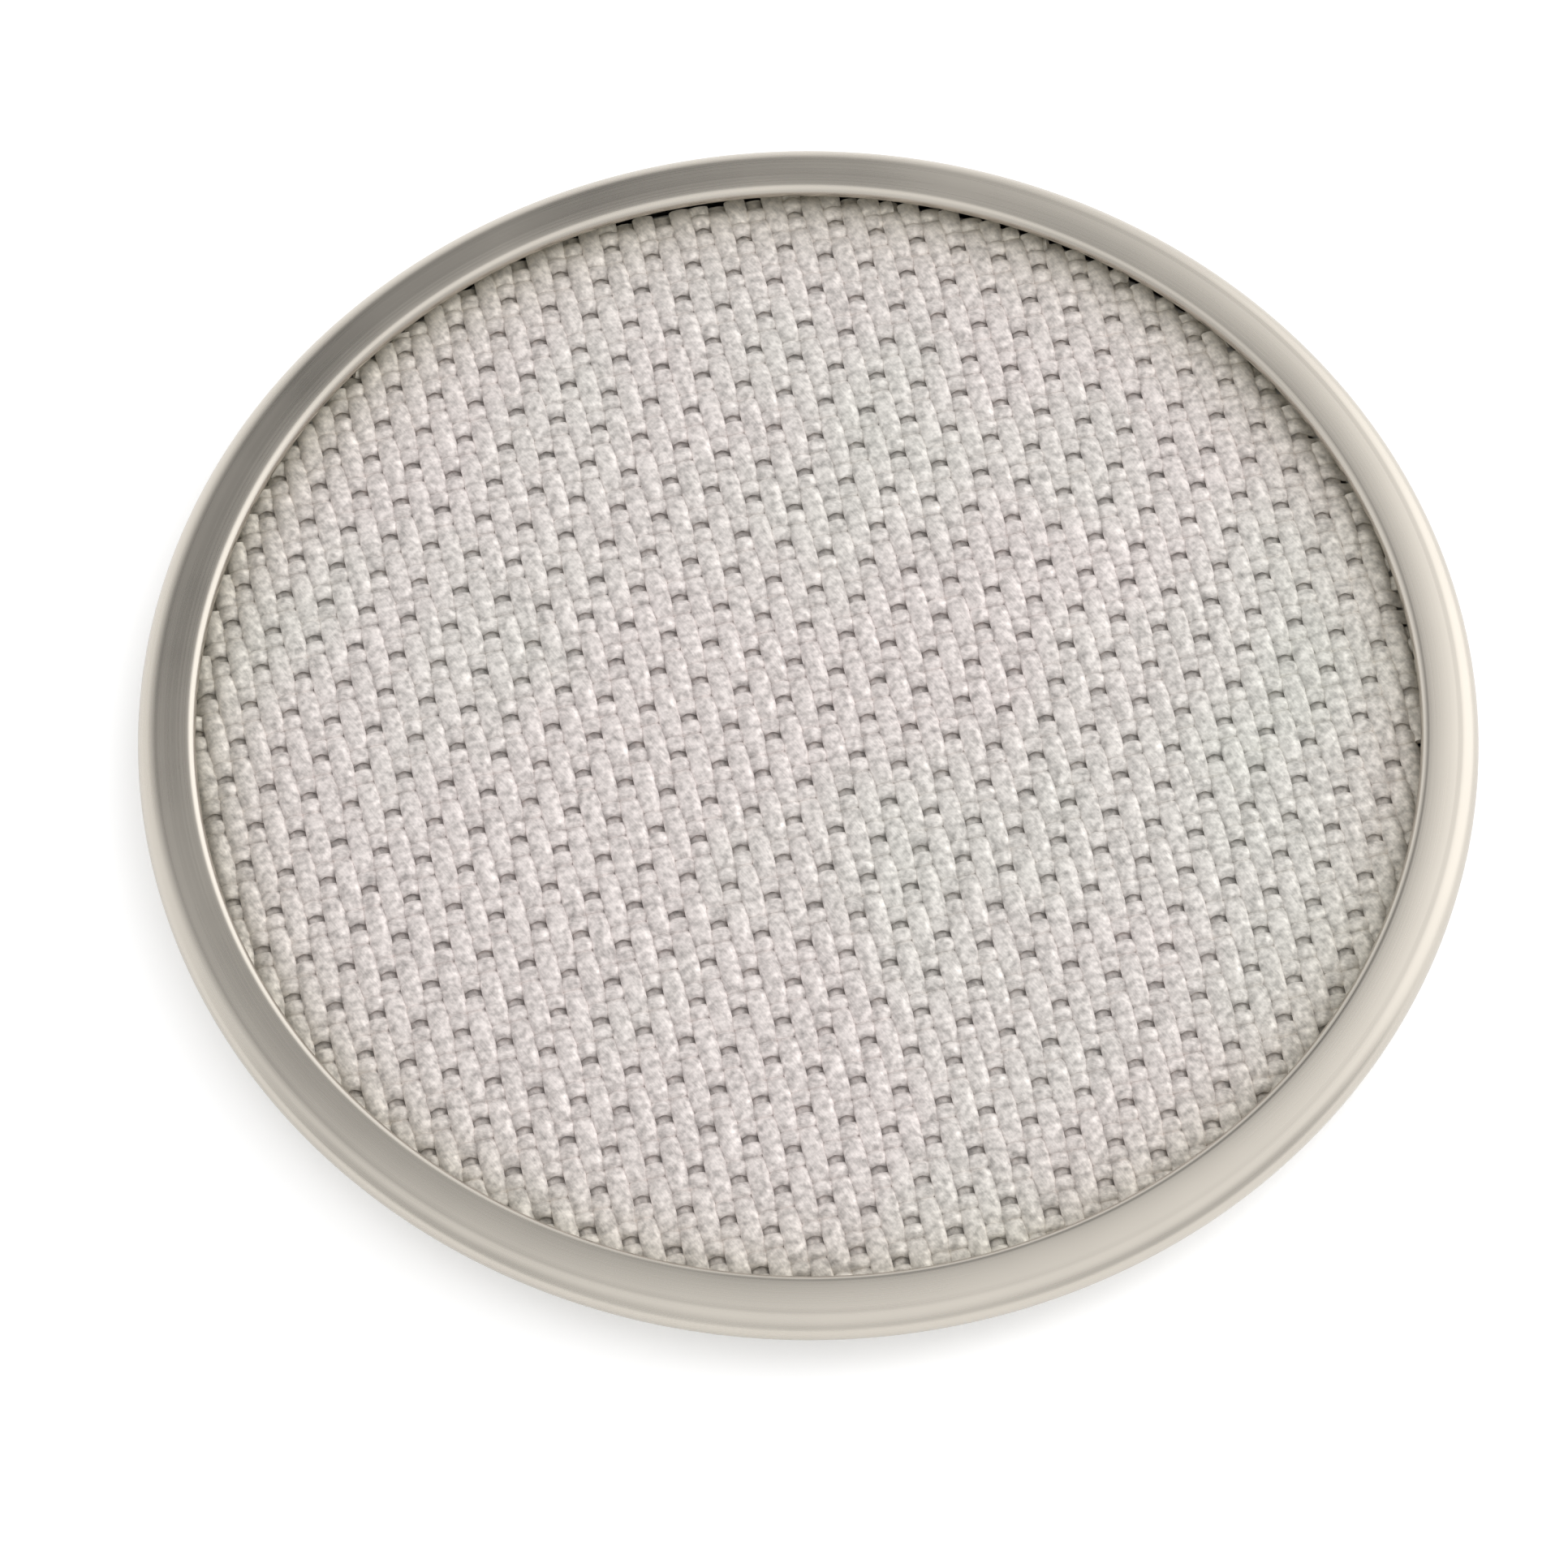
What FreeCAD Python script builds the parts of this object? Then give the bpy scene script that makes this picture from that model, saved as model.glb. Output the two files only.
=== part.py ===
"""Round premix gas burner head: a deck woven from metal fibre yarns, held in a rolled stainless rim.

Millimetres. +Z points the way the flame goes, and the head rests on Z = 0.
The warp yarns run along Y and the weft yarns along X.
"""
import FreeCAD, Part
import math
import os

import Sketcher
from FreeCAD import Vector

# Sizes that can be set by themselves
SIZES = {
    "rim_outer_radius": 80.0,
    "rim_depth": 5.1,
    "rim_sheet": 0.8,
    "crimp_width": 0.75,
    "lip_depth": 1.4,
    "lip_bend": 1.0,
    "lip_overlap": 1.55,
    "lip_gap": 1.4,
    "rear_drop": 4.4,
    "yarn_width": 2.1,
    "yarn_thickness": 1.3,
    "yarn_pitch": 2.31,
    "deck_crown": 2.0,
    "pan_sheet": 0.8,
    "pan_bend": 0.5,
    "pan_land": 9.7,
    "spigot_step": 0.6,
    "spigot_gap": 0.25,
    "seat_sheet": 0.8,
    "seat_width": 3.8,
    "plate_sheet": 0.8,
    "hole_radius": 1.0,
    "hole_step": 5.4,
    "spacer_width": 3.0,
    "side_clearance": 0.2,
    "face_clearance": 0.04,
}

# Places and fits worked out from those sizes, each from the ones above it
PLACES = {
    "rim_bottom": "rear_drop",
    "rim_top": "rim_bottom + rim_depth",
    "rim_bend_radius": "rim_outer_radius - rim_depth / 2",
    "rim_lower_inside": "rim_bottom + rim_sheet",
    "rim_upper_inside": "rim_top - rim_sheet",
    "rim_crimp_radius": "rim_bend_radius - crimp_width",
    "spigot_radius": "rim_crimp_radius - side_clearance",
    "pan_outside_radius": "spigot_radius - spigot_step",
    "pan_inside_radius": "pan_outside_radius - pan_sheet",
    "deck_radius": "pan_inside_radius - side_clearance",
    "rim_lip_radius": "deck_radius - lip_overlap",
    "lip_back_radius": "rim_lip_radius + rim_sheet",
    "lip_bottom": "rim_top - lip_depth",
    "deck_edge_top": "lip_bottom - lip_gap",
    "deck_edge_middle": "deck_edge_top - yarn_thickness - face_clearance / 2",
    "deck_edge_bottom": "deck_edge_top - 2 * yarn_thickness - face_clearance",
    "spigot_inside_radius": "spigot_radius - pan_sheet",
    "spigot_top": "rim_bottom - spigot_gap",
    "spigot_neck": "spigot_top + spigot_step",
    "pan_inlet_radius": "spigot_radius - pan_land",
    "pan_flange_bottom": "rim_lower_inside + face_clearance",
    "pan_flange_top": "pan_flange_bottom + pan_sheet",
    "pan_flange_radius": "rim_bend_radius + side_clearance",
    "seal_inner_radius": "deck_radius + 3 * side_clearance",
    "seal_bottom": "pan_flange_top + face_clearance",
    "seal_top": "rim_upper_inside - face_clearance",
    "plate_radius": "pan_inside_radius - side_clearance",
    "plate_bottom": "pan_sheet + face_clearance",
    "plate_top": "plate_bottom + plate_sheet",
    "seat_top": "deck_edge_bottom - face_clearance",
    "seat_bottom": "seat_top - seat_sheet",
    "seat_inner_radius": "plate_radius - seat_width",
    "spacer_bottom": "plate_top + face_clearance",
    "spacer_top": "seat_bottom - face_clearance",
    "spacer_inner_radius": "plate_radius - spacer_width",
}

SECTORS = 6
SAME_PLACE = 1e-6

doc = FreeCAD.newDocument("burner_head")
sheet = doc.addObject("Spreadsheet::Sheet", "dims")
for row, (alias, content) in enumerate({**SIZES, **PLACES}.items(), start=1):
    is_formula = isinstance(content, str)
    sheet.set(f"A{row}", alias)
    sheet.set(f"B{row}", f"={content}" if is_formula else str(content))
    sheet.setAlias(f"B{row}", alias)
doc.recompute()


def value(alias):
    """Number in the sheet's cell of that name."""
    return float(getattr(sheet, alias))


def origin_plane(body, role):
    """The body's own origin plane with that role."""
    return next(plane for plane in body.Origin.OriginFeatures if plane.Role == role)


def new_sketch(body, name, role):
    """Sketch attached to one of the body's own origin planes."""
    sketch = body.newObject("Sketcher::SketchObject", name)
    sketch.AttachmentSupport = [(origin_plane(body, role), "")]
    sketch.MapMode = "FlatFace"
    return sketch


def bind_point(sketch, edge, end, radius, height):
    """Tie one end of an edge to a radius and a height from the sheet. None means zero."""
    for kind, axis, alias in (("DistanceX", -2, radius), ("DistanceY", -1, height)):
        if alias is None:
            sketch.addConstraint(Sketcher.Constraint("PointOnObject", edge, end, axis))
        else:
            index = sketch.addConstraint(Sketcher.Constraint(kind, -1, 1, edge, end, value(alias)))
            sketch.setExpression(f"Constraints[{index}]", f"dims.{alias}")


def ring_body(label, corners):
    """Ring turned about Z from corners of (radius, height, bulge).

    Bulge is for the edge to the next corner: 0 is straight, and 1 and -1 are
    half-rounds that swell outwards and inwards.
    """
    body = doc.addObject("PartDesign::Body", label)
    sketch = new_sketch(body, f"{label}_profile", "XZ_Plane")
    points = [Vector(value(radius), value(height) if height else 0, 0) for radius, height, _ in corners]
    starts = []
    for index, (radius, _, bulge) in enumerate(corners):
        start = points[index]
        end = points[(index + 1) % len(points)]
        if bulge:
            middle = (start + end) / 2
            swell = Vector(bulge * start.distanceToPoint(end) / 2, 0, 0)
            arc = Part.Arc(start, middle + swell, end)
            edge = sketch.addGeometry(arc, False)
            upwards = (end.y > start.y) == (bulge > 0)
            starts.append((edge, 1 if upwards else 2))
            centre = sketch.addConstraint(
                Sketcher.Constraint("DistanceX", -1, 1, edge, 3, value(radius)))
            sketch.setExpression(f"Constraints[{centre}]", f"dims.{radius}")
        else:
            edge = sketch.addGeometry(Part.LineSegment(start, end), False)
            starts.append((edge, 1))
    for index, (radius, height, _) in enumerate(corners):
        edge, end = starts[index]
        previous, previous_start = starts[index - 1]
        previous_end = 3 - previous_start
        sketch.addConstraint(Sketcher.Constraint("Coincident", previous, previous_end, edge, end))
        bind_point(sketch, edge, end, radius, height)
    turned = body.newObject("PartDesign::Revolution", f"{label}_turned")
    turned.Profile = sketch
    turned.ReferenceAxis = (sketch, ["V_Axis"])
    turned.Angle = 360
    return body


def flat_ring(label, inner, outer, bottom, top):
    """Ring of rectangular section."""
    return ring_body(label, [(inner, bottom, 0), (outer, bottom, 0), (outer, top, 0), (inner, top, 0)])


def round_bends(body, name, corners, size):
    """Round the ring's edges that stand at corners of (radius, height)."""
    doc.recompute()
    turned = body.Tip
    places = [(value(radius), value(height) if height else 0) for radius, height in corners]
    bends = []
    for index, edge in enumerate(turned.Shape.Edges, start=1):
        if isinstance(edge.Curve, Part.Circle):
            place = (edge.Curve.Radius, edge.Curve.Center.z)
            if min(math.dist(place, corner) for corner in places) < SAME_PLACE:
                bends.append(f"Edge{index}")
    rounded = body.newObject("PartDesign::Fillet", name)
    rounded.Base = (turned, bends)
    rounded.setExpression("Radius", f"dims.{size}")
    body.Tip = rounded


def make_outer_rim():
    """Strip rolled to a C: a lip turned down over the deck, a half-round outside and a crimp below."""
    rim = ring_body("outer_rim", [
        ("rim_crimp_radius", "rim_bottom", 0),
        ("rim_bend_radius", "rim_bottom", 1),
        ("rim_bend_radius", "rim_top", 0),
        ("rim_lip_radius", "rim_top", 0),
        ("rim_lip_radius", "lip_bottom", 0),
        ("lip_back_radius", "lip_bottom", 0),
        ("lip_back_radius", "rim_upper_inside", 0),
        ("rim_bend_radius", "rim_upper_inside", 1),
        ("rim_bend_radius", "rim_lower_inside", 0),
        ("rim_crimp_radius", "rim_lower_inside", 0),
    ])
    round_bends(rim, "outer_rim_lip_bend", [("rim_lip_radius", "rim_top")], "lip_bend")
    return rim


def make_rear_pan():
    """Pressed pan: a land round the gas inlet, a spigot, a neck, and a flange inside the rim."""
    pan = ring_body("rear_pan", [
        ("pan_inlet_radius", None, 0),
        ("spigot_radius", None, 0),
        ("spigot_radius", "spigot_top", 0),
        ("pan_outside_radius", "spigot_neck", 0),
        ("pan_outside_radius", "pan_flange_bottom", 0),
        ("pan_flange_radius", "pan_flange_bottom", 0),
        ("pan_flange_radius", "pan_flange_top", 0),
        ("pan_inside_radius", "pan_flange_top", 0),
        ("pan_inside_radius", "spigot_neck", 0),
        ("spigot_inside_radius", "spigot_top", 0),
        ("spigot_inside_radius", "pan_sheet", 0),
        ("pan_inlet_radius", "pan_sheet", 0),
    ])
    round_bends(pan, "rear_pan_bends", [("spigot_radius", None), ("pan_inside_radius", "pan_flange_top")],
                "pan_bend")
    return pan


def make_distributor_plate():
    """Disc with rings of punched holes, cut as one sector that is repeated."""
    plate = doc.addObject("PartDesign::Body", "distributor_plate")
    blank = new_sketch(plate, "plate_blank", "XY_Plane")
    blank.setExpression("AttachmentOffset.Base.z", "dims.plate_bottom")
    blank.addGeometry(Part.Circle(Vector(), Vector(0, 0, 1), value("plate_radius")), False)
    blank.addConstraint(Sketcher.Constraint("Coincident", 0, 3, -1, 1))
    blank.addConstraint(Sketcher.Constraint("Radius", 0, value("plate_radius")))
    blank.setExpression("Constraints[1]", "dims.plate_radius")
    disc = plate.newObject("PartDesign::Pad", "plate_disc")
    disc.Profile = blank
    disc.setExpression("Length", "dims.plate_sheet")
    doc.recompute()

    centre = new_sketch(plate, "centre_hole", "XY_Plane")
    centre.setExpression("AttachmentOffset.Base.z", "dims.plate_bottom")
    centre.addGeometry(Part.Circle(Vector(), Vector(0, 0, 1), value("hole_radius")), False)
    centre.addConstraint(Sketcher.Constraint("Coincident", 0, 3, -1, 1))
    centre.addConstraint(Sketcher.Constraint("Radius", 0, value("hole_radius")))
    centre.setExpression("Constraints[1]", "dims.hole_radius")
    punch_through(plate, centre, "centre_punch")

    sector = new_sketch(plate, "hole_sector", "XY_Plane")
    sector.setExpression("AttachmentOffset.Base.z", "dims.plate_bottom")
    rings = int((value("pan_inlet_radius") - value("hole_radius")) / value("hole_step"))
    step_angle = 360 / SECTORS
    for ring in range(1, rings + 1):
        for place in range(ring):
            angle = step_angle * place / ring
            reach = ring * value("hole_step")
            spot = Vector(reach * math.cos(math.radians(angle)), reach * math.sin(math.radians(angle)), 0)
            hole = sector.addGeometry(Part.Circle(spot, Vector(0, 0, 1), value("hole_radius")), False)
            wanted = [
                (Sketcher.Constraint("Radius", hole, value("hole_radius")), "dims.hole_radius"),
                (Sketcher.Constraint("DistanceX", -1, 1, hole, 3, spot.x),
                 f"{ring} * dims.hole_step * cos({angle} deg)"),
            ]
            if place:
                wanted.append((Sketcher.Constraint("DistanceY", -1, 1, hole, 3, spot.y),
                               f"{ring} * dims.hole_step * sin({angle} deg)"))
            else:
                sector.addConstraint(Sketcher.Constraint("PointOnObject", hole, 3, -1))
            for constraint, expression in wanted:
                index = sector.addConstraint(constraint)
                sector.setExpression(f"Constraints[{index}]", expression)
    punched = punch_through(plate, sector, "sector_punch")
    whole = plate.newObject("PartDesign::PolarPattern", "punched_rings")
    whole.Originals = [punched]
    whole.Axis = (sector, ["N_Axis"])
    whole.Angle = 360
    whole.Occurrences = SECTORS
    plate.Tip = whole
    return plate


def punch_through(body, sketch, name):
    """Cut a sketch on the underside of the plate up through it."""
    cut = body.newObject("PartDesign::Pocket", name)
    cut.Profile = sketch
    cut.Type = "ThroughAll"
    cut.Reversed = True
    doc.recompute()
    return cut


def deck_yarns(label, layer_offset, turn):
    """One layer of oval yarns, each bent to the crowned deck and cut to its round outline.

    The deck's middle surface is a wide sphere. Each yarn lies in a plane parallel
    to the sphere's axis, so its centre line is an arc. The yarns run along Y, and
    are then turned about Z.
    """
    edge_radius = value("deck_radius")
    crown = value("deck_crown")
    half_width = value("yarn_width") / 2
    half_thickness = value("yarn_thickness") / 2
    pitch = value("yarn_pitch")
    sphere_radius = (edge_radius ** 2 + crown ** 2) / (2 * crown)
    sphere_height = value("deck_edge_middle") + crown - sphere_radius
    last = int((edge_radius - 2 * half_width) / pitch)
    yarns = []
    for index in range(-last, last + 1):
        across = index * pitch
        half_length = math.sqrt(edge_radius ** 2 - (abs(across) + half_width) ** 2)
        arc_radius = math.sqrt((sphere_radius + layer_offset) ** 2 - across ** 2)
        half_angle = math.asin(half_length / arc_radius)
        middle = Vector(across, 0, sphere_height)
        outward = Vector(0, -math.sin(half_angle), math.cos(half_angle))
        start = middle + outward * arc_radius
        oval = Part.Ellipse(start + Vector(half_width, 0, 0), start + outward * half_thickness, start)
        section = Part.Face(Part.Wire(oval.toShape()))
        yarns.append(section.revolve(middle, Vector(-1, 0, 0), math.degrees(2 * half_angle)))
    layer = doc.addObject("Part::Feature", label)
    layer.Shape = Part.makeCompound(yarns)
    layer.Placement = FreeCAD.Placement(Vector(), FreeCAD.Rotation(Vector(0, 0, 1), turn))
    return layer


def make_deck():
    """Warp yarns along Y over weft yarns along X."""
    layer_offset = (value("yarn_thickness") + value("face_clearance")) / 2
    warp = deck_yarns("deck_warp_yarns", layer_offset, 0)
    weft = deck_yarns("deck_weft_yarns", -layer_offset, 90)
    return [warp, weft]


pieces = [
    make_outer_rim(),
    *make_deck(),
    flat_ring("deck_seat_ring", "seat_inner_radius", "plate_radius", "seat_bottom", "seat_top"),
    flat_ring("plate_spacer_ring", "spacer_inner_radius", "plate_radius", "spacer_bottom", "spacer_top"),
    make_distributor_plate(),
    make_rear_pan(),
    flat_ring("edge_seal", "seal_inner_radius", "pan_flange_radius", "seal_bottom", "seal_top"),
]
doc.recompute()

for thing in doc.Objects:
    if "Invalid" in thing.State or "Error" in thing.State:
        raise RuntimeError(f"{thing.Label} failed: {thing.State}")
for piece in pieces:
    if piece.Shape.isNull() or not piece.Shape.isValid():
        raise RuntimeError(f"{piece.Label} has no valid shape")

os.makedirs("parts", exist_ok=True)
for piece in pieces:
    piece.Shape.exportStep(f"parts/{piece.Label}.step")
    box = piece.Shape.BoundBox
    print(f"{piece.Label}: {len(piece.Shape.Solids)} solids, {piece.Shape.Volume:.1f} mm3, "
          f"z {box.ZMin:.2f} to {box.ZMax:.2f}, radius {box.XMax:.2f}")
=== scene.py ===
"""Round premix gas burner head: a deck woven from metal fibre yarns, in a rolled stainless rim. Metres."""

import math

import bpy
from mathutils import Matrix, Vector


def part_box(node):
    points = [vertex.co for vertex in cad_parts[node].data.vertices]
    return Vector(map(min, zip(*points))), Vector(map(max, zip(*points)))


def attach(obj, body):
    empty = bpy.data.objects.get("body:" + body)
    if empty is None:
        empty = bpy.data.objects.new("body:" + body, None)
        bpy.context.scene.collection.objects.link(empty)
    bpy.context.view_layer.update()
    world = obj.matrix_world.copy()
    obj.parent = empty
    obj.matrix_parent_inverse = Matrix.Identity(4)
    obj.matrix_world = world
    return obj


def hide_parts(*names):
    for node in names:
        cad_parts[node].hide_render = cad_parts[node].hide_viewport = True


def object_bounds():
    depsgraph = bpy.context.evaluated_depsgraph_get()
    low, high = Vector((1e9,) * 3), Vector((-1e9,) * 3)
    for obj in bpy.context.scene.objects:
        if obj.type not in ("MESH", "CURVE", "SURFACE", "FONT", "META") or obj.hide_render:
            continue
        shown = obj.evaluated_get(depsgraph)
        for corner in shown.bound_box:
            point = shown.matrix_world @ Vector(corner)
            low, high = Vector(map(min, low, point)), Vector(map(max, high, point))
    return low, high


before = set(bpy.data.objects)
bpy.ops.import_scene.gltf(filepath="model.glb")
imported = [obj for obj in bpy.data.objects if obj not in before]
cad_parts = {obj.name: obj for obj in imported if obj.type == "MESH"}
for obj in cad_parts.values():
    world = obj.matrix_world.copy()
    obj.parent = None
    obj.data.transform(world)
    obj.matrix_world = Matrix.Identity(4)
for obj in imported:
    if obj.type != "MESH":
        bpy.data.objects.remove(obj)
cad_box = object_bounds()

MM = 0.001

# The deck, as it is woven
PITCH = 2.31 * MM
WARP_WIDTH = 2.6 * MM
WEFT_WIDTH = 2.0 * MM
THICKNESS = 1.05 * MM
LAYER_GAP = 0.04 * MM
WEFT_SPREAD = 0.3 * MM
HARNESSES = 5
STEPS_PER_CROSSING = 6
YARN_SIDES = 10
EDGE_SHARPNESS = 3.0

# The rim's strip. Its lip end is at LIP_RADIUS, and its hem grips the pan at CRIMP_RADIUS
SHEET = 0.8 * MM
LIP_RADIUS = 73.0 * MM
LIP_DEPTH = 1.4 * MM
LIP_BEND = 1.0 * MM
CRIMP_RADIUS = 76.7 * MM
TOP_FALL = 0.28 * MM
RIM_SEGMENTS = 288
SHARP_ANGLE = 50

# The view
ELEVATION = 62.4
WEAVE_TURN = 12.4
LENS = 200.0
SENSOR = 36.0
FRAME_WIDTH = 187.2 * MM
RIGHT_OF_CENTRE = 2.9 * MM
ABOVE_CENTRE = 7.1 * MM

# The studio. Each patch has the azimuth and elevation of its centre, its half-width in degrees
# and the brightness it adds. Azimuth is anticlockwise from the view's right
SKY_STRENGTH = 0.745
SKY_PATCHES = (
    (32, 22, 50, 1.2),
    (-75, 80, 60, 0.42),
    (120, 50, 38, -0.42),
    (104, 54, 20, -0.36),
    (150, 12, 60, 0.5),
    (90, 0, 30, 0.4),
    (-90, 12, 45, 0.22),
    (-60, 60, 40, 0.1),
    (62, 52, 26, 0.24),
)
FLOOR_HALF_WIDTH = 1.6
FLOOR_TINT = (0.93, 0.93, 0.93)
FLOOR_GLOW = 0.22

# Tints of the yarns: most of the deck, the greener patches, and a darker, warmer painted shade near the
# rim, where the lip shades the yarns
YARN_TINTS_AND_RIM_SHADE = ((0.66, 0.61, 0.59), (0.625, 0.615, 0.575), (0.54, 0.505, 0.43))
YARN_ROUGHNESS = 0.7
YARN_METALLIC = 0.5
RIM_TINT = (0.535, 0.498, 0.442)
SHEET_TINT = (0.60, 0.595, 0.57)
PLATE_TINT = (0.56, 0.55, 0.53)
CERAMIC_DARK = (0.72, 0.69, 0.62, 1.0)
CERAMIC_LIGHT = (0.93, 0.91, 0.86, 1.0)


class Signal:
    """A node's output. Sums written with it add Math nodes to its tree."""

    def __init__(self, maker, socket):
        self.maker = maker
        self.socket = socket

    def math(self, operation, *others):
        return self.maker.read("ShaderNodeMath", {"operation": operation}, [self, *others])

    def __add__(self, other):
        return self.math("ADD", other)

    def __radd__(self, other):
        return self.math("ADD", other)

    def __sub__(self, other):
        return self.math("SUBTRACT", other)

    def __rsub__(self, other):
        return self.maker.read("ShaderNodeMath", {"operation": "SUBTRACT"}, [other, self])

    def __mul__(self, other):
        return self.math("MULTIPLY", other)

    def __rmul__(self, other):
        return self.math("MULTIPLY", other)

    def __truediv__(self, other):
        return self.math("DIVIDE", other)

    def __pow__(self, other):
        return self.math("POWER", other)

    def __neg__(self):
        return self.math("MULTIPLY", -1.0)

    def __abs__(self):
        return self.math("ABSOLUTE")

    def __lt__(self, other):
        return self.math("LESS_THAN", other)

    def __gt__(self, other):
        return self.math("GREATER_THAN", other)

    def floor(self):
        return self.math("FLOOR")

    def root(self):
        return self.math("SQRT")


class Maker:
    """Adds nodes to one tree."""

    def __init__(self, tree):
        self.tree = tree

    def node(self, kind, settings=None, values=None):
        """Node of that type. Settings come first, then the values or links of its sockets."""
        node = self.tree.nodes.new(kind)
        for name, setting in (settings or {}).items():
            setattr(node, name, setting)
        named = values.items() if isinstance(values, dict) else enumerate(values or [])
        for key, given in named:
            if isinstance(given, Signal):
                self.tree.links.new(given.socket, node.inputs[key])
            elif given is not None:
                node.inputs[key].default_value = given
        return node

    def read(self, kind, settings=None, values=None, output=0):
        """One output of a new node."""
        return Signal(self, self.node(kind, settings, values).outputs[output])

    def split(self, vector):
        """The three parts of a vector."""
        parts = self.node("ShaderNodeSeparateXYZ", None, [vector])
        return [Signal(self, part) for part in parts.outputs]

    def join(self, x, y, z):
        return self.read("ShaderNodeCombineXYZ", None, [x, y, z])

    def mix(self, factor, first, second, blend_type="MIX"):
        """Mix of two colours. The numbers are the Mix node's colour sockets."""
        return self.read("ShaderNodeMix", {"data_type": "RGBA", "blend_type": blend_type},
                         {0: factor, 6: first, 7: second}, output=2)

    def link(self, node, signals):
        """Link signals into the named inputs of a node."""
        for name, signal in signals.items():
            self.tree.links.new(signal.socket, node.inputs[name])


# ---- Meshes ----

def add_object(name, mesh):
    piece = bpy.data.objects.new(name, mesh)
    bpy.context.scene.collection.objects.link(piece)
    return piece


def smooth(mesh):
    """Smooth shading, with edges sharper than SHARP_ANGLE left hard."""
    mesh.polygons.foreach_set("use_smooth", [True] * len(mesh.polygons))
    mesh.set_sharp_from_angle(angle=math.radians(SHARP_ANGLE))
    return mesh


def arc(centre, radius, start, end, steps):
    """Points of (r, z) on an arc, in degrees anticlockwise from +r."""
    turns = [math.radians(start + (end - start) * step / steps) for step in range(steps + 1)]
    return [(centre[0] + radius * math.cos(turn), centre[1] + radius * math.sin(turn)) for turn in turns]


def lathe(name, profile, segments):
    """Closed ring turned about Z from a closed profile, listed anticlockwise."""
    count = len(profile)
    points = []
    for segment in range(segments):
        turn = math.tau * segment / segments
        points += [(r * math.cos(turn), r * math.sin(turn), z) for r, z in profile]
    faces = []
    for segment in range(segments):
        here = segment * count
        there = ((segment + 1) % segments) * count
        for index in range(count):
            following = (index + 1) % count
            faces.append((here + index, there + index, there + following, here + following))
    mesh = bpy.data.meshes.new(name)
    mesh.from_pydata(points, [], faces)
    mesh.update()
    return mesh


def grow(name, tree, inputs):
    """Plain mesh made by a Geometry Nodes tree with those inputs."""
    piece = add_object(name, bpy.data.meshes.new(name))
    modifier = piece.modifiers.new("grow", "NODES")
    modifier.node_group = tree
    for item in tree.interface.items_tree:
        if item.in_out == "INPUT" and item.name in inputs:
            modifier[item.identifier] = inputs[item.name]
    shaped = piece.evaluated_get(bpy.context.evaluated_depsgraph_get())
    mesh = bpy.data.meshes.new_from_object(shaped)
    piece.modifiers.clear()
    piece.data = mesh
    return piece


# ---- The woven deck ----

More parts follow.
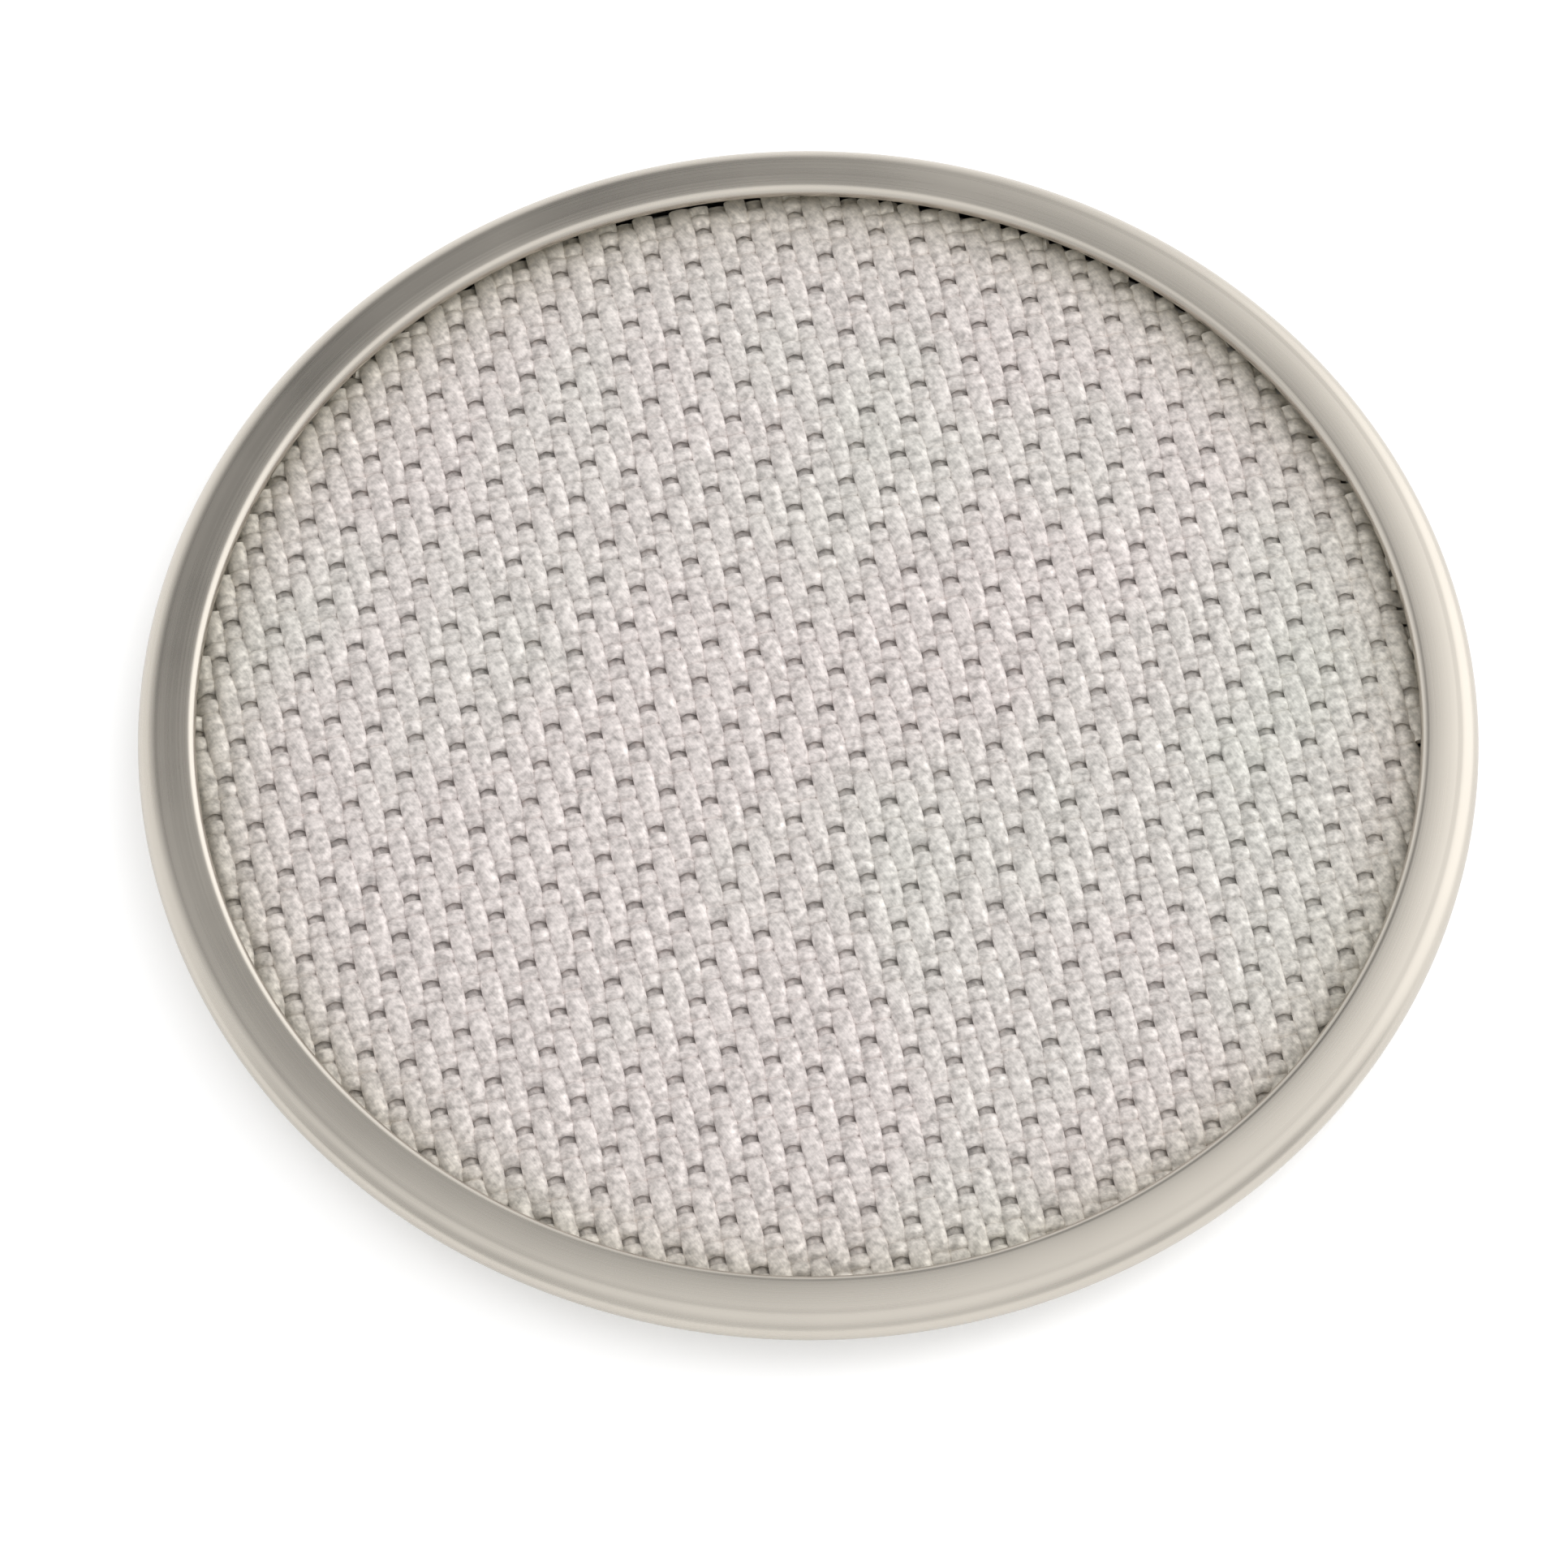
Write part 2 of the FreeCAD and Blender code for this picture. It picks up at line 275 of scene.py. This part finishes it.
def weave_tree():
    """Tree for one layer of yarns, each bent over and under the ones that cross it.

    Yarns run along Y and are numbered along X. A yarn is over the ones it crosses
    where (Yarn Step * yarn + Crossing Step * crossing - First Over), counted round
    the harnesses, is less than Over Count.
    """
    tree = bpy.data.node_groups.new("woven_layer", "GeometryNodeTree")
    numbers = ("Pitch", "Yarn Width", "Yarn Thickness", "Half Gap", "Spread", "Deck Radius",
               "Edge Height", "Crown", "Edge Sharpness", "Yarn Step", "Crossing Step", "First Over",
               "Over Count", "Harnesses", "Steps", "First Yarn", "Turn")
    counts = ("Yarns", "Points", "Sides")
    for name in numbers:
        tree.interface.new_socket(name, in_out="INPUT", socket_type="NodeSocketFloat")
    for name in counts:
        tree.interface.new_socket(name, in_out="INPUT", socket_type="NodeSocketInt")
    tree.interface.new_socket("Material", in_out="INPUT", socket_type="NodeSocketMaterial")
    tree.interface.new_socket("Geometry", in_out="OUTPUT", socket_type="NodeSocketGeometry")
    make = Maker(tree)
    group = make.node("NodeGroupInput")
    given = {name: Signal(make, group.outputs[name]) for name in (*numbers, *counts, "Material")}
    pitch = given["Pitch"]
    deck_radius = given["Deck Radius"]
    half_width = given["Yarn Width"] * 0.5
    half_thickness = given["Yarn Thickness"] * 0.5

    step = pitch / given["Steps"]
    rows = make.read("GeometryNodeMeshLine", {"mode": "OFFSET"}, {
        "Count": given["Yarns"],
        "Start Location": make.join(given["First Yarn"] * pitch, 0.0, 0.0),
        "Offset": make.join(pitch, 0.0, 0.0)})
    run = make.read("GeometryNodeMeshLine", {"mode": "OFFSET"}, {
        "Count": given["Points"],
        "Start Location": make.join(0.0, (given["Points"] - 1.0) * step * -0.5, 0.0),
        "Offset": make.join(0.0, step, 0.0)})
    placed = make.read("GeometryNodeInstanceOnPoints", None, {"Points": rows, "Instance": run})
    lines = make.read("GeometryNodeRealizeInstances", None, [placed])

    across, along, _ = make.split(make.read("GeometryNodeInputPosition"))
    outer_side = abs(across) + half_width
    half_length = (deck_radius * deck_radius - outer_side * outer_side).math("MAXIMUM", 0.0).root()
    beyond = abs(along) > half_length + step * 0.5
    kept = make.read("GeometryNodeDeleteGeometry", {"domain": "POINT"}, {
        "Geometry": lines, "Selection": beyond})

    along = along.math("MAXIMUM", -half_length).math("MINIMUM", half_length)
    yarn = (across / pitch + 0.5).floor()
    before = (along / pitch).floor()
    part = along / pitch - before
    eased = 0.5 - (part * math.pi).math("COSINE") * 0.5

    def is_over(yarn, crossing):
        """1 where that yarn is over at that crossing, and 0 where it is under."""
        place = given["Yarn Step"] * yarn + given["Crossing Step"] * crossing - given["First Over"] + 0.5
        round_place = place - (place / given["Harnesses"]).floor() * given["Harnesses"]
        return round_place < given["Over Count"]

    def between(first, second):
        return first + (second - first) * eased

    def push(crossing):
        """Share of the spread at a crossing, away from the neighbour that is over there too."""
        return is_over(yarn, crossing) * (is_over(yarn - 1.0, crossing) - is_over(yarn + 1.0, crossing))

    swing = between(is_over(yarn, before), is_over(yarn, before + 1.0)) * 2.0 - 1.0
    pushed = across + between(push(before), push(before + 1.0)) * given["Spread"]
    reach = (across * across + along * along).root() / deck_radius
    middle = given["Edge Height"] + given["Crown"] * (1.0 - reach ** given["Edge Sharpness"])
    height = middle + swing * (half_thickness + given["Half Gap"])
    bent = make.read("GeometryNodeSetPosition", None, {
        "Geometry": kept, "Position": make.join(pushed, along, height)})
    paths = make.read("GeometryNodeMeshToCurve", None, [bent])
    paths = make.read("GeometryNodeSetCurveNormal", {"mode": "Z_UP"}, [paths])
    circle = make.read("GeometryNodeCurvePrimitiveCircle", None, {
        "Resolution": given["Sides"], "Radius": 1.0})
    section = make.read("GeometryNodeTransform", None, {
        "Geometry": circle, "Scale": make.join(half_width, half_thickness, 1.0)})
    yarns = make.read("GeometryNodeCurveToMesh", None, {
        "Curve": paths, "Profile Curve": section, "Fill Caps": True})
    turned = make.read("GeometryNodeTransform", None, {
        "Geometry": yarns, "Rotation": make.join(0.0, 0.0, given["Turn"])})
    whole = make.read("GeometryNodeRealizeInstances", None, [turned])
    finished = make.read("GeometryNodeSetMaterial", None, {
        "Geometry": whole, "Material": given["Material"]})
    make.node("NodeGroupOutput", None, [finished])
    return tree


def make_deck(warp_material, weft_material):
    """Warp yarns over three and under two weft yarns, each layer in two halves."""
    warp_low, warp_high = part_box("deck_warp_yarns")
    weft_low, weft_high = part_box("deck_weft_yarns")
    deck_radius = max(warp_high[1], weft_high[0])
    last = int((deck_radius - WARP_WIDTH) / PITCH)
    shared = {
        "Pitch": PITCH, "Yarn Thickness": THICKNESS, "Half Gap": LAYER_GAP / 2,
        "Deck Radius": deck_radius, "Edge Sharpness": EDGE_SHARPNESS,
        "Edge Height": weft_low[2] + THICKNESS + LAYER_GAP / 2,
        "Crown": warp_high[2] - weft_low[2] - 2 * THICKNESS - LAYER_GAP,
        "Harnesses": float(HARNESSES), "Steps": float(STEPS_PER_CROSSING),
        "Points": 2 * (last + 1) * STEPS_PER_CROSSING + 1, "Sides": YARN_SIDES,
    }
    warp = {"Yarn Width": WARP_WIDTH, "Spread": 0.0, "Yarn Step": 2.0, "Crossing Step": -1.0,
            "First Over": 3.0, "Over Count": 3.0, "Turn": 0.0, "Material": warp_material}
    weft = {"Yarn Width": WEFT_WIDTH, "Spread": WEFT_SPREAD, "Yarn Step": -1.0, "Crossing Step": -2.0,
            "First Over": 1.0, "Over Count": 2.0, "Turn": math.pi / 2, "Material": weft_material}
    tree = weave_tree()
    for layer, node, sides in ((warp, "deck_warp_yarns", ("left", "right")),
                               (weft, "deck_weft_yarns", ("near", "far"))):
        for side, first, count in ((sides[0], -last, last), (sides[1], 0, last + 1)):
            part = {"First Yarn": float(first), "Yarns": count}
            yarns = grow(f"{node}_{side}", tree, {**shared, **layer, **part})
            smooth(yarns.data)
            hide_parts(node)
            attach(yarns, "root")


# ---- The rim ----

def make_rim(material):
    """Rolled strip with a turned-down lip, a slightly crowned top and a half-round outside."""
    low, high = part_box("outer_rim")
    bottom, top = low[2], high[2]
    round_radius = (top - bottom - TOP_FALL) / 2
    bend = (high[0] - round_radius, bottom + round_radius)
    shoulder = LIP_RADIUS + LIP_BEND
    top_steps = 10
    inside_bend = LIP_BEND - SHEET
    crowned = []
    for step in range(1, top_steps):
        part = step / top_steps
        crowned.append((bend[0] + (shoulder - bend[0]) * part, top - TOP_FALL * (1 - part) ** 2))
    under = [(r, z - SHEET) for r, z in reversed(crowned)]
    lip_end = (LIP_RADIUS + SHEET / 2, top - LIP_DEPTH + SHEET / 4)
    profile = [
        (CRIMP_RADIUS, bottom), *arc(bend, round_radius, -90, 90, steps=28), *crowned,
        *arc((shoulder, top - LIP_BEND), LIP_BEND, 90, 180, steps=12),
        *arc(lip_end, SHEET / 2, 180, 360, steps=8),
        *arc((shoulder, top - LIP_BEND), inside_bend, 180, 90, steps=4), *under,
        *arc(bend, round_radius - SHEET, 90, -90, steps=18), (CRIMP_RADIUS, bottom + SHEET),
    ]
    rim = add_object("outer_rim_rolled", smooth(lathe("outer_rim_rolled", profile, RIM_SEGMENTS)))
    rim.data.materials.append(material)
    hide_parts("outer_rim")
    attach(rim, "root")


# ---- Materials ----

def metal_material(name, tint, roughness, grain, mottle):
    """Bare sheet metal with fine turned grain and cloudy patches."""
    cloud_contrast = 0.1
    grain_contrast = 0.14
    around_scale = 0.35
    material = bpy.data.materials.new(name)
    material.use_nodes = True
    make = Maker(material.node_tree)
    shader = material.node_tree.nodes["Principled BSDF"]
    place = make.read("ShaderNodeTexCoord", output=3)
    x, y, z = make.split(place)
    radius = (x * x + y * y).root()
    cloud = make.read("ShaderNodeTexNoise", None, {
        "Vector": place, "Scale": 38.0, "Detail": 3.0, "Roughness": 0.55})
    around = make.join(x / radius * around_scale, y / radius * around_scale, z * grain)
    streaks = make.read("ShaderNodeTexNoise", {"noise_dimensions": "4D"}, {
        "Vector": around, "W": radius * grain, "Scale": 1.0, "Detail": 4.0, "Roughness": 0.6})
    dark = [channel * (1.0 - cloud_contrast) for channel in tint]
    light = [channel * (1.0 + cloud_contrast) for channel in tint]
    colour = make.mix(cloud, (*dark, 1.0), (*light, 1.0))
    finish = roughness + (streaks - 0.5) * grain_contrast + (cloud - 0.5) * mottle
    bump = make.read("ShaderNodeBump", None, {"Strength": 0.12, "Distance": 0.04 * MM, "Height": streaks})
    make.link(shader, {"Base Color": colour, "Roughness": finish, "Normal": bump})
    shader.inputs["Metallic"].default_value = 1.0
    return material


def yarn_material(name, runs_along_x):
    """Bundle of fine metal fibres with a slight twist. It is tinted in patches, with painted shade near
    the rim under the lip and painted glints in its colour.
    """
    twist = 0.45
    fibre_scale, fibre_run_scale = 5200.0, 700.0
    patch_contrast, patch_bias = 3.5, 0.1
    # How fast and how strongly the painted shade under the lip darkens the yarns towards the rim
    rim_shade_power, rim_shade_amount = 14.0, 0.85
    painted_glint_tone, fibre_tone, glint_finish = 1.1, 0.5, 0.8
    tint, patch_tint, rim_shade_tint = [(*channels, 1.0) for channels in YARN_TINTS_AND_RIM_SHADE]
    material = bpy.data.materials.new(name)
    material.use_nodes = True
    make = Maker(material.node_tree)
    shader = material.node_tree.nodes["Principled BSDF"]
    place = make.read("ShaderNodeTexCoord", output=3)
    x, y, z = make.split(place)
    along, across = (x, y) if runs_along_x else (y, x)
    radius = (x * x + y * y).root()
    lie = make.join((across + along * twist) * fibre_scale, along * fibre_run_scale, z * fibre_scale)
    fibres = make.read("ShaderNodeTexNoise", None, {
        "Vector": lie, "Scale": 1.0, "Detail": 3.0, "Roughness": 0.6})
    # Noise for painted glints in the colour and for smoother spots in the roughness
    painted_glints_and_smooth_spots = make.read("ShaderNodeTexNoise", None, {"Vector": place, "Scale": 1150.0, "Detail": 2.0})
    patches = make.read("ShaderNodeTexNoise", None, {
        "Vector": place, "Scale": 26.0, "Detail": 2.0, "Roughness": 0.5})
    patchy = ((patches - 0.5) * patch_contrast + patch_bias).math("MAXIMUM", 0.0).math("MINIMUM", 1.0)
    # Painted shade: the yarn colour turns darker and warmer towards the rim, where the lip shades the deck
    painted_rim_shade = ((radius / LIP_RADIUS) ** rim_shade_power * rim_shade_amount).math("MINIMUM", 1.0)
    colour = make.mix(painted_rim_shade, make.mix(patchy, tint, patch_tint), rim_shade_tint)
    # Painted glints: small bright spots from the glint noise are multiplied into the colour, and the fibre
    # noise is the yarns' own grain
    tone = 1.0 + ((painted_glints_and_smooth_spots - 0.5) * painted_glint_tone + (fibres - 0.5) * fibre_tone)
    colour = make.mix(1.0, colour, make.join(tone, tone, tone), "MULTIPLY")
    finish = YARN_ROUGHNESS - (painted_glints_and_smooth_spots - 0.5) * glint_finish
    bump = make.read("ShaderNodeBump", None, {"Strength": 0.35, "Distance": 0.06 * MM, "Height": fibres})
    make.link(shader, {"Base Color": colour, "Roughness": finish, "Normal": bump})
    shader.inputs["Metallic"].default_value = YARN_METALLIC
    return material


def fibre_material():
    """White ceramic fibre."""
    material = bpy.data.materials.new("ceramic_fibre")
    material.use_nodes = True
    make = Maker(material.node_tree)
    shader = material.node_tree.nodes["Principled BSDF"]
    place = make.read("ShaderNodeTexCoord", output=3)
    fibres = make.read("ShaderNodeTexNoise", None, {
        "Vector": place, "Scale": 900.0, "Detail": 5.0, "Distortion": 2.0})
    colour = make.mix(fibres, CERAMIC_DARK, CERAMIC_LIGHT)
    bump = make.read("ShaderNodeBump", None, {"Strength": 0.5, "Distance": 0.2 * MM, "Height": fibres})
    make.link(shader, {"Base Color": colour, "Normal": bump})
    shader.inputs["Roughness"].default_value = 0.95
    return material


def dress(node, material):
    """Give a CAD node its material."""
    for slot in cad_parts[node].material_slots:
        slot.material = material


# ---- Stage ----

def make_floor():
    """Plain pale floor with a faint glow."""
    floor = add_object("floor", bpy.data.meshes.new("floor"))
    half = FLOOR_HALF_WIDTH
    floor.data.from_pydata([(-half, -half, 0), (half, -half, 0), (half, half, 0), (-half, half, 0)],
                           [], [(0, 1, 2, 3)])
    floor.location.z = cad_box[0][2]
    material = bpy.data.materials.new("pale_floor")
    material.use_nodes = True
    shader = material.node_tree.nodes["Principled BSDF"]
    shader.inputs["Base Color"].default_value = (*FLOOR_TINT, 1.0)
    shader.inputs["Roughness"].default_value = 0.9
    shader.inputs["Emission Color"].default_value = (1.0, 1.0, 1.0, 1.0)
    shader.inputs["Emission Strength"].default_value = FLOOR_GLOW
    floor.data.materials.append(material)


def add_light(name, azimuth, elevation, distance, size, energy):
    """Square soft light aimed at the head, which shines on it without a reflection of its own."""
    lamp = bpy.data.lights.new(name, "AREA")
    lamp.shape = "SQUARE"
    lamp.size = size
    lamp.energy = energy
    holder = bpy.data.objects.new(name, lamp)
    holder.location = view_direction(azimuth, elevation) * distance
    holder.visible_glossy = False
    holder.rotation_euler = holder.location.to_track_quat("Z", "Y").to_euler()
    bpy.context.scene.collection.objects.link(holder)


def view_direction(azimuth, elevation):
    """Unit vector. Azimuth is anticlockwise from the view's right."""
    turn = math.radians(azimuth - WEAVE_TURN)
    rise = math.radians(elevation)
    return Vector((math.cos(turn) * math.cos(rise), math.sin(turn) * math.cos(rise), math.sin(rise)))


def make_sky():
    """Pale studio round the head, with soft bright and dim patches."""
    world = bpy.data.worlds.new("soft_sky")
    world.use_nodes = True
    make = Maker(world.node_tree)
    x, y, z = make.split(make.read("ShaderNodeTexCoord"))
    strength = SKY_STRENGTH
    for azimuth, elevation, width, amount in SKY_PATCHES:
        towards = view_direction(azimuth, elevation)
        edge = math.cos(math.radians(width))
        near = (x * towards.x + y * towards.y + z * towards.z - edge) / (1.0 - edge)
        clipped = near.math("MAXIMUM", 0.0)
        glow = clipped * clipped * (3.0 - 2.0 * clipped) * amount
        strength = glow + strength
    background = world.node_tree.nodes["Background"]
    background.inputs["Color"].default_value = (1.0, 1.0, 1.0, 1.0)
    world.node_tree.links.new(strength.socket, background.inputs["Strength"])
    bpy.context.scene.world = world


def make_camera():
    """Long lens above the near side, with the weave turned a little from the view's right."""
    low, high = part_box("outer_rim")
    centre = Vector((0, 0, (low[2] + high[2]) / 2))
    turn = math.radians(-WEAVE_TURN)
    rise = math.radians(ELEVATION)
    right = Vector((math.cos(turn), math.sin(turn), 0))
    ahead = Vector((-math.sin(turn), math.cos(turn), 0))
    back = -ahead * math.cos(rise) + Vector((0, 0, math.sin(rise)))
    up = back.cross(right)
    target = centre - right * RIGHT_OF_CENTRE - up * ABOVE_CENTRE
    lens = bpy.data.cameras.new("camera")
    lens.lens = LENS
    lens.sensor_width = SENSOR
    camera = bpy.data.objects.new("camera", lens)
    facing = Matrix((right, up, back)).transposed().to_4x4()
    camera.matrix_world = Matrix.Translation(target + back * FRAME_WIDTH * LENS / SENSOR) @ facing
    bpy.context.scene.collection.objects.link(camera)
    bpy.context.scene.camera = camera


make_camera()
make_floor()
make_sky()
add_light("key", azimuth=25, elevation=32, distance=1.5, size=1.0, energy=4.0)
bpy.context.scene.view_settings.view_transform = "Standard"

warp_metal = yarn_material("warp_metal_fibre", runs_along_x=False)
weft_metal = yarn_material("weft_metal_fibre", runs_along_x=True)
rim_metal = metal_material("rim_satin", RIM_TINT, roughness=0.28, grain=5000.0, mottle=0.12)
sheet_metal = metal_material("sheet_steel", SHEET_TINT, roughness=0.36, grain=3000.0, mottle=0.12)
plate_metal = metal_material("punched_sheet", PLATE_TINT, roughness=0.42, grain=2500.0, mottle=0.14)
fibre = fibre_material()

make_deck(warp_metal, weft_metal)
make_rim(rim_metal)
for node in ("deck_seat_ring", "plate_spacer_ring", "rear_pan"):
    dress(node, sheet_metal)
dress("distributor_plate", plate_metal)
dress("edge_seal", fibre)
